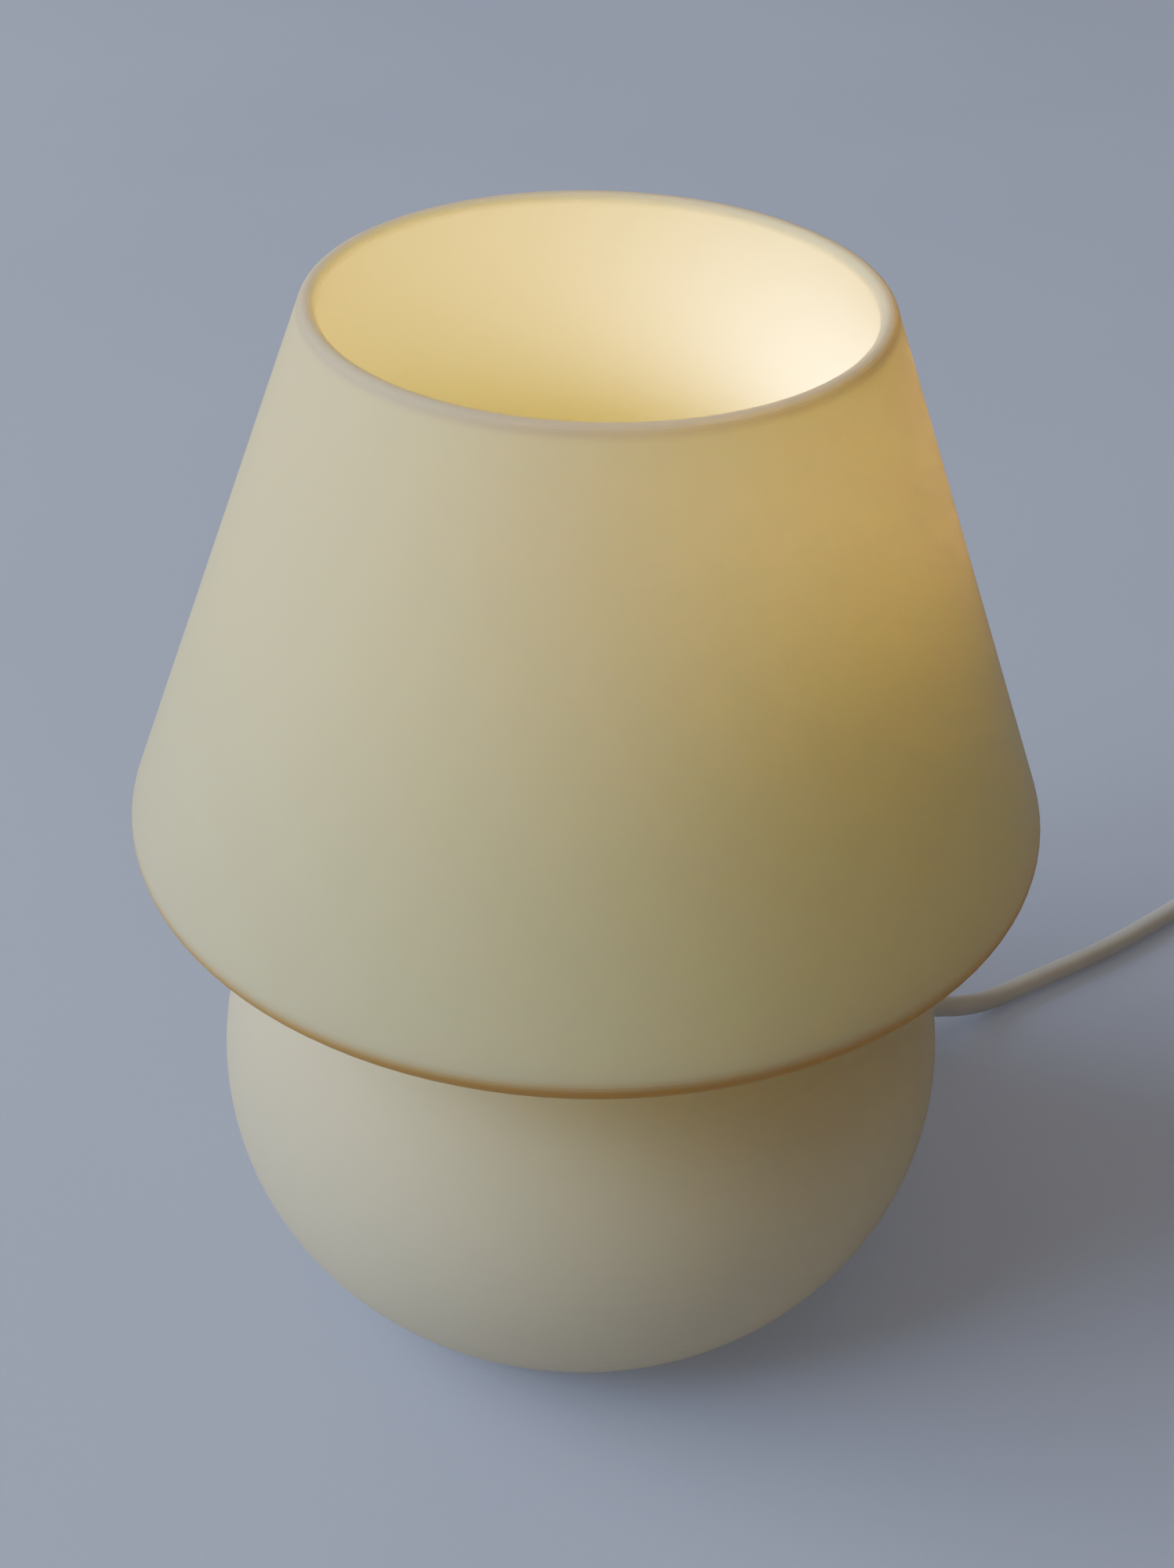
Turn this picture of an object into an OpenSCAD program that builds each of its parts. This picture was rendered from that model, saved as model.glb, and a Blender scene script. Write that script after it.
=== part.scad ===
// Table lamp blown from one piece of satin glass: a globe foot, a waist and a conical shade
// with an open top. A bracket clamped in the cable hole carries the lampholder inside it.
// The frame: +Z is up, the glass axis is X = Y = 0, and the foot stands on Z = 0.

/* [Glass] */
// Overall height of the glass
lamp_h = 220; // [205:1:240]
// Largest radius of the shade, at the fold of its brim
shade_r = 91; // [86:0.5:98]
// Height of the centre of the brim fold
brim_z = 116; // [113:0.5:122]
// Outer radius of the brim fold
fold_r = 4; // [4:0.25:7]
// Outer radius of the open rim
rim_r = 52.6; // [49:0.2:60]
// Largest radius of the globe
globe_r = 77.7; // [74:0.1:82]
// Height of the widest line of the globe
globe_z = 48; // [45:0.5:50]
// Radius of the globe's side, seen in section
side_r = 60; // [57:0.5:64]
// Radius of the hollow fillet between globe and shade
waist_fillet = 8; // [6:0.5:11]
// Radius of the round edge of the foot
foot_fillet = 6; // [4:0.5:8]
// Thickness of the glass wall
wall = 3.4; // [2.6:0.1:3.8]
// Thickness of the glass under the foot ring
foot_floor = 5.4; // [4.5:0.1:7]
// Height of the hollow under the foot
push_up = 2; // [1:0.25:3]
// Width of the flat ring that the lamp stands on
foot_ring_w = 5; // [3:0.5:8]

/* [Cable entry] */
// Direction of the cable hole, turned from +X towards +Y
cable_az = 30.5; // [20:0.5:45]
// Height of the cable hole on the outside of the globe
cable_z = 24; // [20:0.5:30]
// Outside diameter of the hollow threaded tubes
nipple_d = 10; // [9:0.5:11]
// Bore of the hollow threaded tubes
nipple_bore = 7; // [6.2:0.1:7.5]
// Diameter of the soft washers on both sides of the glass
washer_d = 18; // [16:0.5:19]
// Thickness of the soft washers at their middle
washer_t = 2; // [1.6:0.1:2.6]
// Length of the cord bush, from the glass to its tip
bush_len = 28; // [24:1:34]
// Diameter of the bush flange
bush_flange_d = 18; // [16:0.5:20]
// Diameter of the bush where its taper starts
bush_hub_d = 14; // [13.5:0.5:15.5]
// Diameter of the bush at its tip
bush_tip_d = 8; // [7.2:0.2:9]
// Width of the hexagon nuts across their flats
nut_af = 14; // [13:0.5:15]
// Thickness of the hexagon nuts
nut_t = 3; // [2.5:0.1:4]

/* [Bracket] */
// Width of the bracket strip
strip_w = 16; // [14:0.5:18]
// Thickness of the bracket strip
strip_t = 1.5; // [1:0.1:2]
// Height of the top of the bracket's tab
tab_z = 70; // [68:0.5:76]
// Gap between the lampholder and the glass in the waist
waist_room = 3.7; // [2.5:0.1:6]
// Lean of the lampholder towards the side of the cable hole
holder_tilt = 10; // [0:0.5:12]
// Radius of the bend of the lead inside the globe
lead_bend = 21; // [20.8:0.1:22]
// Thickness of the toothed washer under the lampholder
lock_t = 0.8; // [0.6:0.1:1.2]

/* [Lampholder] */
// Outside diameter of the lampholder
holder_d = 28; // [27:0.5:31]
// Wall of the lampholder
holder_wall = 2; // [1.6:0.1:2.4]
// Height of the lampholder's cap
cap_h = 16; // [15:0.5:19]
// Height of the rim that holds cap and shell together
spigot_h = 4; // [3:0.5:6]
// Height of the insulating block
block_h = 26; // [24:0.5:29]
// Thickness of the insulating block below the lamp
block_floor = 10.4; // [9:0.2:12]
// Height of the lip at the mouth of the lampholder
lip_h = 6; // [4:0.5:7]

/* [Bulb] */
// Diameter of the bulb
bulb_d = 45; // [38:0.5:48]
// Overall length of the bulb with its screw cap
bulb_len = 76; // [72:0.5:84]
// Diameter of the bulb's screw cap
screw_d = 13.9; // [13.5:0.05:14.1]
// Diameter of the wide end of the screw cap
skirt_d = 17.2; // [16.8:0.1:17.8]
// Height of the bulb's centre above the lower edge of its dome
dome_drop = 2.5; // [0.5:0.5:5]
// Thickness of the bulb's dome
bulb_wall = 1.2; // [0.8:0.05:1.6]
// Thickness of the bulb's housing
bulb_shell = 1.8; // [1.4:0.1:2.4]

/* [Cord] */
// Diameter of the cord
cord_d = 5.2; // [4.6:0.1:5.6]
// Inner radius of the put-away coil, at the middle of the cord
coil_r = 21; // [19:0.5:23]
// Gap between the turns of the coil
coil_gap = 0.65; // [0.6:0.05:0.9]
// Height of the middle of the coil's start
coil_z = 3.6; // [3.6:0.1:4.2]
// Thickness of the tie round the coil
tie_t = 0.8; // [0.6:0.05:0.9]
// Width of the tie
tie_w = 8; // [6:0.5:12]

/* [Cord switch] */
// Length of the switch
switch_l = 74; // [70:1:80]
// Width of the switch at its middle
switch_w = 26; // [24:0.5:30]
// Width of the switch at its ends
switch_end_w = 13; // [12:0.5:16]
// Height of the switch housing
switch_h = 16; // [15:0.25:18]
// Height of the line where the two shells meet
split_z = 8; // [7.6:0.1:8.4]
// Wall of the switch shells
switch_wall = 2; // [1.6:0.1:2.4]
// Length of the rocker's window
window_l = 18; // [16:0.5:20]
// Width of the rocker's window
window_w = 11; // [10:0.5:12]
// Tilt of the rocker to each side
rocker_tilt = 10; // [7:0.5:11]

/* [Plug] */
// Width of the plug at its face
plug_w = 35.3; // [34:0.1:36]
// Thickness of the plug
plug_t = 13.7; // [13:0.1:14.5]
// Length of the plug's body
plug_l = 35; // [30:0.5:40]
// Length of the plug's bend relief
relief_l = 23; // [20:0.5:28]
// Diameter of the plug's pins
pin_d = 4; // [3.8:0.05:4.8]
// Length of the pins in front of the plug's face
pin_l = 19; // [17:0.5:20]
// Distance between the middles of the pins
pin_gap = 18.6; // [17.5:0.1:19.5]
// Length of the insulating sleeves on the pins
sleeve_l = 10; // [8:0.5:12]

/* [Fits] */
// Radial clearance of threads and running fits
run_fit = 0.05; // [0.02:0.01:0.1]
// Radial clearance of holes that something only passes through
bore_gap = 0.1; // [0.05:0.01:0.2]
// Gap between a washer and the glass that it lies on
seat_gap = 0.1; // [0.05:0.01:0.2]
// Gap between moving pieces and their surroundings
move_gap = 0.3; // [0.2:0.05:0.4]

/* [Hidden] */
$fn = 96;

// Small helpers
function arc(c, r, from, to, n) =
    [for (i = [0:n]) c + r * [cos(from + (to - from) * i / n), sin(from + (to - from) * i / n)]];
function reverse(list) = [for (i = [len(list) - 1:-1:0]) list[i]];
function unit(v) = v / norm(v);
function between(a, b, t) = a + (b - a) * t;

// Section of the glass, as radius and height
globe_c = [globe_r - side_r, globe_z];
foot_reach = side_r - foot_fillet;
foot_c = globe_c + [sqrt(foot_reach ^ 2 - (globe_z - foot_fillet) ^ 2), foot_fillet - globe_z];
foot_a = atan2(foot_c.y - globe_c.y, foot_c.x - globe_c.x);
fold_c = [shade_r - fold_r, brim_z];
waist_z = brim_z - fold_r - waist_fillet;
waist_c = [globe_c.x + sqrt((side_r + waist_fillet) ^ 2 - (waist_z - globe_z) ^ 2), waist_z];
waist_a = atan2(waist_z - globe_z, waist_c.x - globe_c.x);
rim_c = [rim_r - wall / 2, lamp_h - wall / 2];
cone_line = rim_c - fold_c;
cone_a = atan2(cone_line.y, cone_line.x) - acos((fold_r - wall / 2) / norm(cone_line));
floor_a = asin((foot_floor - globe_z) / (side_r - wall));
ring_r = foot_c.x - foot_ring_w;
glass_section = concat(
    [[0, push_up], [ring_r - 2 * push_up, push_up], [ring_r, 0]],
    arc(foot_c, foot_fillet, -90, foot_a, 6),
    arc(globe_c, side_r, foot_a, waist_a, 28),
    arc(waist_c, waist_fillet, 180 + waist_a, 90, 12),
    arc(fold_c, fold_r, -90, cone_a, 10),
    arc(rim_c, wall / 2, cone_a, cone_a + 180, 10),
    arc(fold_c, fold_r - wall, cone_a, -90, 4),
    arc(waist_c, waist_fillet + wall, 90, 180 + waist_a, 12),
    arc(globe_c, side_r - wall, waist_a, floor_a, 28),
    [[0, foot_floor]]);

// Cable hole: its axis stands square on the globe, in the upright plane through cable_az
entry_tilt = asin((globe_z - cable_z) / side_r);
entry = [globe_c.x + side_r * cos(entry_tilt), cable_z];
entry_out = [cos(entry_tilt), -sin(entry_tilt)];
entry_up = [sin(entry_tilt), cos(entry_tilt)];
hole_d = nipple_d + 6 * bore_gap;
nipple_end = 2;
socket_l = 7.5;
flange_t = 2.5;
taper_z = washer_t + flange_t + 2;
groove = [1.6, 0.8];
groove_count = 4;
function bush_r(z) = between(bush_hub_d, bush_tip_d, (z - taper_z) / (bush_len - taper_z)) / 2;
flange_face = wall + washer_t;
nut_face = flange_face + strip_t;

// Lampholder, from the tab upwards along its own leaning axis
waist_in = waist_c.x - waist_fillet - wall;
holder_reach = holder_d / 2 / cos(holder_tilt) + (waist_z - tab_z) * tan(holder_tilt);
holder_offset = waist_in - waist_room - holder_reach;
holder_foot = [holder_offset, tab_z];
holder_up = [sin(holder_tilt), cos(holder_tilt)];
holder_side = [holder_up.y, -holder_up.x];
cap_z = tab_z + lock_t;
shell_z = cap_z + cap_h;
block_z = shell_z + spigot_h;
block_top = block_z + block_h;
bore_z = block_z + block_floor;
contact_h = 1.6;
tip_z = bore_z + contact_h;
cap_neck = [8, 5];
thread_h = 7;
shell_in = holder_d / 2 - holder_wall;
block_r = shell_in - bore_gap;
shell_wall = 0.4;
screw_r = screw_d / 2 + run_fit;
stem_r = 1.5;
lead_top = cap_z + thread_h + 0.2;
term_size = [4.6, 6.4, 8];
term_x = 5.5;
core_r = 1;
term_screw_r = 1;

// Lead inside the globe: along the cable hole's axis, then up into the lampholder
lead_turn = 90 - entry_tilt + holder_tilt;
lead_in = cross(entry - holder_foot, holder_up) / cross(entry_out, holder_up);
lead_corner = entry - lead_in * entry_out;
lead_c = lead_corner + lead_bend * (tan(lead_turn / 2) * holder_up + holder_side);
bush_tip = entry + bush_len * entry_out;
lead_line = concat([bush_tip, entry],
    arc(lead_c, lead_bend, 180 - holder_tilt + lead_turn, 180 - holder_tilt, 8),
    [holder_foot + (lead_top - tab_z) * holder_up]);

// Bracket, as the middle line of its strip
flange_mid = entry - (flange_face + strip_t / 2) * entry_out;
tab_mid = holder_foot - strip_t / 2 * holder_up;
tab_reach = 16;
tab_end = 10;
bend_l = 6;
nut_r = nut_af / 2 / cos(30);
flange_up = nut_r + bend_l + move_gap;
flange_down = nut_r + 1;
function bend(a, b, c, n) = let (p = b + bend_l * unit(a - b), q = b + bend_l * unit(c - b))
    [for (i = [0:n]) let (t = i / n) (1 - t) ^ 2 * p + 2 * t * (1 - t) * b + t ^ 2 * q];
bracket_a = flange_mid - flange_down * entry_up;
bracket_b = flange_mid + flange_up * entry_up;
bracket_c = tab_mid + tab_reach * holder_side;
bracket_d = tab_mid - tab_end * holder_side;
bracket_line = concat([bracket_a], bend(bracket_a, bracket_b, bracket_c, 6),
    bend(bracket_b, bracket_c, bracket_d, 6), [bracket_d]);
function left_of(a, b) = let (d = unit(b - a)) [-d.y, d.x];
function side_step(line, i) = let (last = len(line) - 1,
    m = left_of(line[max(i - 1, 0)], line[min(max(i, 1), last)]),
    n = left_of(line[min(i, last - 1)], line[min(i + 1, last)])) (m + n) / (1 + m * n);
function beside(line, d) = [for (i = [0:len(line) - 1]) line[i] + d * side_step(line, i)];

// Bulb, upwards from its tip
tip_t = 0.95;
insulator_z = tip_z + 1;
screw_z = tip_z + 3.6;
skirt_z = tip_z + 17;
skirt_top = tip_z + 25;
cap_wall = 0.35;
neck_r = (screw_d + skirt_d) / 4 - cap_wall;
neck_z = (skirt_z + skirt_top) / 2 + 1;
bulb_r = bulb_d / 2;
bulb_c = [0, tip_z + bulb_len - bulb_r];
dome_a = -asin(dome_drop / bulb_r);
housing_r = bulb_r * cos(dome_a);
housing_z = [skirt_top + bore_gap, bulb_c.y - dome_drop - bore_gap];
board_z = housing_z[1] - 3;
board_t = 1.2;
board_r = housing_r - bulb_shell - bore_gap;
led_count = 8;
led_size = [2.8, 2.8, 0.7];
function flare(t) = [between(skirt_d / 2, housing_r, sin(90 * t)), between(housing_z[0], housing_z[1], t)];

// Routes of the free cord. The lead leaves the bush, comes down to the table and runs to the switch
function turn_to(p) = [p.x * cos(cable_az), p.x * sin(cable_az), p.y];
cord_exit = turn_to(bush_tip);
cord_out = turn_to(entry_out);
switch_pos = [220, 25];
plug_pos = [220, -94, plug_t / 2];
lead_points = [[98, 58.4, 6], [105, 63.6, 3.4], [113, 69.2, 2.7], [122, 75, 2.6], [131, 80.6, 2.6],
    [140, 86.6, 2.6], [148, 92.6, 2.6], [156, 99, 2.6], [164, 105.6, 2.6], [172, 112, 2.6],
    [181, 116.8, 2.6], [192, 118.4, 2.6], [203, 115.6, 2.6], [212, 109, 2.6], [218, 99.6, 2.8],
    [220, 89, 3.8], [220, 78, 6.2], [220, 69, 7.8], [220, 62, 8], [220, 57, 8]];
lead_route = concat([cord_exit, cord_exit + 1.5 * cord_d * cord_out], lead_points);
tail_points = [[220, -7, 8], [220, -12, 8], [220, -20, 7.5], [220, -28, 6.1], [220, -36, 4.6],
    [220, -44, coil_z]];
end_points = [[220, -71, 9.45], [220, -78, 8.4], [220, -84, 7.3], [220, -89, plug_pos.z]];

// Coil: two layers that spiral in and out again, in whole turns of 24 steps
coil_turns = 7;
coil_steps = 24;
coil_start = [220, -58];
coil_pitch = cord_d + coil_gap;
coil_out = coil_r + coil_pitch * coil_turns / 2;
coil_mid = coil_turns * 180;
function eased(d) = d < 90 ? d ^ 2 / 180 + 45 : d;
function climb(t) = t <= 0 ? 0 : t >= 1 ? 1 : t ^ 2 * (3 - 2 * t);
function coil_point(t) = let (r = coil_r + coil_pitch * eased(abs(t - coil_mid)) / 360)
    [coil_start.x - coil_out + r * cos(t), coil_start.y - r * sin(t),
        coil_z + coil_pitch * climb((t - coil_mid) / 180 + 0.5)];
coil_turned = [for (i = [0:coil_turns * coil_steps]) coil_point(i * 360 / coil_steps)];
coil_route = concat([coil_turned[0] + [0, cord_d, 0]], coil_turned,
    [coil_turned[len(coil_turned) - 1] - [0, cord_d, 0]]);
tail_route = concat(tail_points, [coil_route[0]]);
end_route = concat([coil_route[len(coil_route) - 1]], end_points, [plug_pos]);

// Least gap of the coil to itself, measured on its points and the middles between them
coil_dense = [for (i = [0:len(coil_turned) - 2]) each
    [coil_turned[i], (coil_turned[i] + coil_turned[i + 1]) / 2]];
coil_least = min([for (i = [0:len(coil_dense) - 1]) for (j = [i + coil_steps:len(coil_dense) - 1])
    norm(coil_dense[i] - coil_dense[j])]) - cord_d;
echo(str("least gap of the coil to itself: ", coil_least, " mm"));

// Tie, a flat loop round the turns
tie_gap = 0.1;
tie_in = (2 * cord_d + coil_gap) / 2 + tie_gap;
tie_mid = coil_z + coil_pitch / 2;
tie_ends = [coil_r + 0.7, coil_out - 0.7];

// Switch, along X in its own frame, with the rocker's ON side at +X
switch_bow = (switch_w - switch_end_w) / 2;
switch_arc = ((switch_l / 2) ^ 2 + switch_bow ^ 2) / (2 * switch_bow);
crown_r = 32;
seam = 0.5;
roof_z = switch_h - switch_wall - 1.4;
post_x = 22;
post_r = 3.4;
fix_r = 1.05;
head = [2.7, 1.6];
head_seat = head.y + 0.6;
pivot_z = switch_h - 4;
pivot_r = 1.4;
cheek_t = 2.4;
rocker_r = window_l / 2 - move_gap - 0.1;
rocker_w = window_w - 2 * move_gap;
rocker_crest = 3.8;
rocker_base = -1.8;
bridge_t = 0.6;
dome = [1.2, 0.8];
dome_at = [rocker_r - 1.6, rocker_w / 2 - 1.6];
dome_low = rocker_base - bridge_t - dome.y;
dome_x = dome_at.x * cos(rocker_tilt) + dome_low * sin(rocker_tilt);
dome_z = pivot_z - dome_at.x * sin(rocker_tilt) + dome_low * cos(rocker_tilt)
    - dome.x * sin(rocker_tilt) - bore_gap;
clamp_l = 6;

// Plug, along X in its own frame, from the end of its bend relief
pin_root = 8;
pin_core = pin_d / 2 - 0.75;
sleeve_r = pin_d / 2 - 0.3;
plug_face = relief_l + plug_l;
relief_ends = [cord_d / 2 + 1.4, plug_t / 2 - 0.4];
relief_ribs = 5;
shoulder_r = 14;
plug_cheek = plug_face - 12;
rib_h = 0.7;
function relief_r(x) = between(relief_ends[0], relief_ends[1], x / relief_l);

module at_entry() {
    rotate([0, 0, cable_az]) translate([entry.x, 0, entry.y]) rotate([0, 90 + entry_tilt, 0]) children();
}

module at_holder() {
    rotate([0, 0, cable_az]) translate([holder_offset, 0, tab_z]) rotate([0, holder_tilt, 0])
        translate([0, 0, -tab_z]) children();
}

module at_switch() {
    translate([switch_pos.x, switch_pos.y, 0]) rotate([0, 0, -90]) children();
}

module at_rocker() {
    at_switch() translate([0, 0, pivot_z]) rotate([0, rocker_tilt, 0]) children();
}

module at_plug() {
    translate(plug_pos) rotate([0, 0, -90]) children();
}

// Tube of n sides along a route. Without a given side, its rings stand upright
module tube(route, r, n, side) {
    last = len(route) - 1;
    rings = [for (i = [0:last])
        let (t = unit(route[min(i + 1, last)] - route[max(i - 1, 0)]),
            u = unit(is_undef(side) ? cross([0, 0, 1], t) : side),
            v = cross(t, u))
        each [for (k = [0:n - 1]) route[i] + r * (cos(360 * k / n) * u + sin(360 * k / n) * v)]];
    sides = [for (i = [0:last - 1]) for (k = [0:n - 1])
        let (a = i * n + k, b = i * n + (k + 1) % n) each [[a, a + n, b + n], [a, b + n, b]]];
    ends = [for (k = [1:n - 2]) each [[0, k, k + 1], [last * n, last * n + k + 1, last * n + k]]];
    polyhedron(rings, concat(sides, ends));
}

module hex_nut() {
    difference() {
        cylinder(r = nut_r, h = nut_t, $fn = 6);
        translate([0, 0, -1]) cylinder(d = nipple_d + 2 * run_fit, h = nut_t + 2);
    }
}

module hollow_tube(r_out, r_in, h) {
    difference() {
        cylinder(r = r_out, h = h);
        translate([0, 0, -1]) cylinder(r = r_in, h = h + 2);
    }
}

// The space inside the globe's side at a given section radius
module globe_solid(r) {
    low = globe_c.y + r * sin(foot_a);
    high = globe_c.y + r * sin(waist_a);
    rotate_extrude($fn = 360)
        polygon(concat([[0, low]], arc(globe_c, r, foot_a, waist_a, 28), [[0, high]]));
}

module glass_body() color("#efe4b8") {
    difference() {
        rotate_extrude($fn = 180) polygon(glass_section);
        at_entry() cylinder(d = hole_d, h = 4 * wall, center = true);
    }
}

module outer_washer() color("#f2efe6") {
    sag = washer_d / 8;
    difference() {
        at_entry() translate([0, 0, -sag])
            hollow_tube(washer_d / 2, nipple_d / 2 + bore_gap, washer_t + sag);
        globe_solid(side_r + seat_gap);
    }
}

module inner_washer() color("#f2efe6") {
    intersection() {
        at_entry() translate([0, 0, -flange_face])
            hollow_tube(washer_d / 2, nipple_d / 2 + bore_gap, washer_t);
        globe_solid(side_r - wall - seat_gap);
    }
}

module entry_nipple() color("#b9b7ae") {
    inward = nut_face + nut_t + nipple_end;
    at_entry() translate([0, 0, -inward])
        hollow_tube(nipple_d / 2, nipple_bore / 2, inward + washer_t + socket_l);
}

module entry_nut() color("#c8c6bd") {
    at_entry() translate([0, 0, -nut_face - nut_t]) hex_nut();
}

// Bush of soft plastic: a flange, a threaded socket and a taper with flex grooves
module cord_bush() color("#e9e3d2") {
    step = (bush_len - taper_z) / (groove_count + 1);
    grooves = [for (i = [1:groove_count])
        let (z = taper_z + i * step - groove.x / 2, low = bush_r(z) - groove.y)
        each [[bush_r(z), z], [low, z], [low, z + groove.x], [bush_r(z + groove.x), z + groove.x]]];
    socket_r = nipple_d / 2 + run_fit;
    cord_r = cord_d / 2 + bore_gap;
    socket_z = washer_t + socket_l + bore_gap;
    at_entry() rotate_extrude() polygon(concat(
        [[socket_r, washer_t], [bush_flange_d / 2, washer_t], [bush_flange_d / 2, washer_t + flange_t],
            [bush_hub_d / 2, washer_t + flange_t], [bush_hub_d / 2, taper_z]],
        grooves,
        [[bush_tip_d / 2, bush_len], [cord_r, bush_len], [cord_r, socket_z], [socket_r, socket_z]]));
}

// Steel strip bent from the cable hole up to the lampholder
module bracket() color("#a9adae") {
    outline = concat(beside(bracket_line, strip_t / 2), reverse(beside(bracket_line, -strip_t / 2)));
    hole = nipple_d + 2 * bore_gap;
    difference() {
        rotate([0, 0, cable_az]) rotate([90, 0, 0]) linear_extrude(strip_w, center = true) polygon(outline);
        at_entry() translate([0, 0, -nut_face - 1]) cylinder(d = hole, h = strip_t + 2);
        at_holder() translate([0, 0, tab_z - strip_t - 1]) cylinder(d = hole, h = strip_t + 2);
    }
}

module lock_washer() color("#9b9a92") {
    teeth = 12;
    lock_r = nipple_d / 2 + 4;
    at_holder() translate([0, 0, tab_z]) difference() {
        hollow_tube(lock_r, nipple_d / 2 + bore_gap, lock_t);
        for (i = [0:teeth - 1]) rotate([0, 0, i * 360 / teeth]) translate([lock_r - 1.2, -0.7, -1])
            cube([3, 1.4, lock_t + 2]);
    }
}

module holder_nipple() color("#b9b7ae") {
    low = tab_z - strip_t - nut_t - nipple_end;
    at_holder() translate([0, 0, low])
        hollow_tube(nipple_d / 2, nipple_bore / 2, cap_z + thread_h - 0.5 - low);
}

module holder_nut() color("#c8c6bd") {
    at_holder() translate([0, 0, tab_z - strip_t - nut_t]) hex_nut();
}

module holder_cap() color("#e6dfca") {
    dome_r = holder_d / 2 - cap_neck.x;
    spigot_r = shell_in - run_fit;
    inner = spigot_r - 1.75;
    bore = nipple_d / 2 + run_fit;
    at_holder() rotate_extrude() polygon(concat(
        [[bore, cap_z], [cap_neck.x, cap_z]],
        arc([cap_neck.x, cap_z + cap_neck.y + dome_r], dome_r, -90, 0, 8),
        [[holder_d / 2, shell_z], [spigot_r, shell_z], [spigot_r, block_z], [inner, block_z],
            [inner, cap_z + thread_h + 2], [cap_neck.x, cap_z + thread_h], [bore, cap_z + thread_h]]));
}

module holder_body() color("#e6dfca") {
    lip_z = block_top + bore_gap;
    mouth_r = skirt_d / 2 + 2 * move_gap;
    top = lip_z + lip_h;
    edge = holder_wall / 2;
    at_holder() rotate_extrude() polygon([[shell_in, shell_z], [holder_d / 2, shell_z],
        [holder_d / 2, top - edge], [holder_d / 2 - edge, top], [mouth_r, top], [mouth_r, lip_z],
        [shell_in, lip_z]]);
}

module contact_block() color("#d9d4c6") {
    bore = screw_r + shell_wall + run_fit;
    hole = stem_r + run_fit;
    at_holder() rotate_extrude() polygon([[hole, block_z], [block_r, block_z], [block_r, block_top],
        [bore, block_top], [bore, bore_z], [hole, bore_z]]);
}

module screw_shell() color("#c9a75a") {
    top = block_top + 1;
    eye = 4;
    at_holder() rotate_extrude() polygon([[eye, bore_z], [screw_r + shell_wall, bore_z],
        [screw_r + shell_wall, top], [screw_r, top], [screw_r, bore_z + shell_wall],
        [eye, bore_z + shell_wall]]);
}

module centre_contact() color("#c9a75a") {
    button = 2.6;
    top = tip_z - bore_gap;
    at_holder() rotate_extrude() polygon([[0, block_z], [stem_r, block_z], [stem_r, bore_z],
        [button, bore_z], [button, top - 0.6], [button - 0.8, top], [0, top]]);
}

// Brass blocks under the insulating block, each with a hole for its core and a clamp screw
module terminals() color("#c9a75a") {
    low = block_z - term_size.z;
    at_holder() for (s = [-1, 1]) difference() {
        translate([s * term_x - term_size.x / 2, -term_size.y / 2, low]) cube(term_size);
        translate([s * term_x, 0, low - 1]) cylinder(r = core_r + bore_gap, h = 6);
        translate([s * term_x, 0, block_z - 2.2]) rotate([0, s * 90, 0])
            cylinder(r = term_screw_r + run_fit, h = term_size.x);
    }
}

module terminal_screws() color("#8f8f8a") {
    shank = term_size.x / 2;
    at_holder() for (s = [-1, 1]) translate([s * term_x, 0, block_z - 2.2]) rotate([0, s * 90, 0]) {
        translate([0, 0, 0.2]) cylinder(r = term_screw_r, h = shank + 0.2);
        translate([0, 0, shank]) cylinder(r = 1.9, h = 1.2);
    }
}

module inner_lead() color("#e4dfd0") {
    tube([for (p = lead_line) turn_to(p)], cord_d / 2, 12, [-sin(cable_az), cos(cable_az), 0]);
}

// Two cores from the end of the lead's sheath into the terminals
module inner_cores() {
    start = lead_top + 0.1;
    hole = block_z - term_size.z;
    for (s = [-1, 1]) color(s < 0 ? "#4a79b8" : "#7a5136") at_holder()
        tube([[s * 1.25, 0, start], [s * 1.25, 0, start + 0.8], [s * 2.6, 0, start + 1.8],
            [s * term_x, 0, hole - 0.8], [s * term_x, 0, hole], [s * term_x, 0, hole + 3]],
            core_r, 8, [0, 1, 0]);
}

// Diffusing dome, a little more than half a ball
module bulb_dome() color("#fbf3dd") {
    at_holder() rotate_extrude() polygon(concat(arc(bulb_c, bulb_r, dome_a, 90, 24),
        arc(bulb_c, bulb_r - bulb_wall, 90, dome_a, 24)));
}

// Opaque housing that widens from the screw cap to the dome, with a ledge for the board
module bulb_housing() color("#f0eee8") {
    steps = 10;
    ledge_t = (board_z - housing_z[0]) / (housing_z[1] - housing_z[0]);
    at_holder() rotate_extrude() polygon(concat(
        [[neck_r - bulb_shell, neck_z], [neck_r, neck_z], [neck_r, housing_z[0]]],
        [for (i = [0:steps]) flare(i / steps)],
        [[housing_r - bulb_shell, housing_z[1]], [housing_r - bulb_shell, board_z]],
        [for (i = [steps:-1:1]) flare(ledge_t * i / steps) - [2 * bulb_shell, 0]],
        [[neck_r - bulb_shell, housing_z[0] + bulb_shell]]));
}

module bulb_board() color("#e8e8e2") {
    at_holder() translate([0, 0, board_z + bore_gap]) cylinder(r = board_r, h = board_t);
}

module bulb_leds() color("#f2d14a") {
    led_ring_r = board_r * 0.6;
    seat = board_z + board_t + 2 * bore_gap;
    at_holder() for (i = [0:led_count - 1]) rotate([0, 0, i * 360 / led_count])
        translate([led_ring_r - led_size.x / 2, -led_size.y / 2, seat]) cube(led_size);
}

module bulb_cap() color("#c6c0ac") {
    screw = screw_d / 2;
    skirt = skirt_d / 2;
    at_holder() rotate_extrude() polygon([[screw, screw_z], [screw, skirt_z], [skirt, skirt_top],
        [skirt - cap_wall, skirt_top], [screw - cap_wall, skirt_z], [screw - cap_wall, screw_z]]);
}

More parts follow.
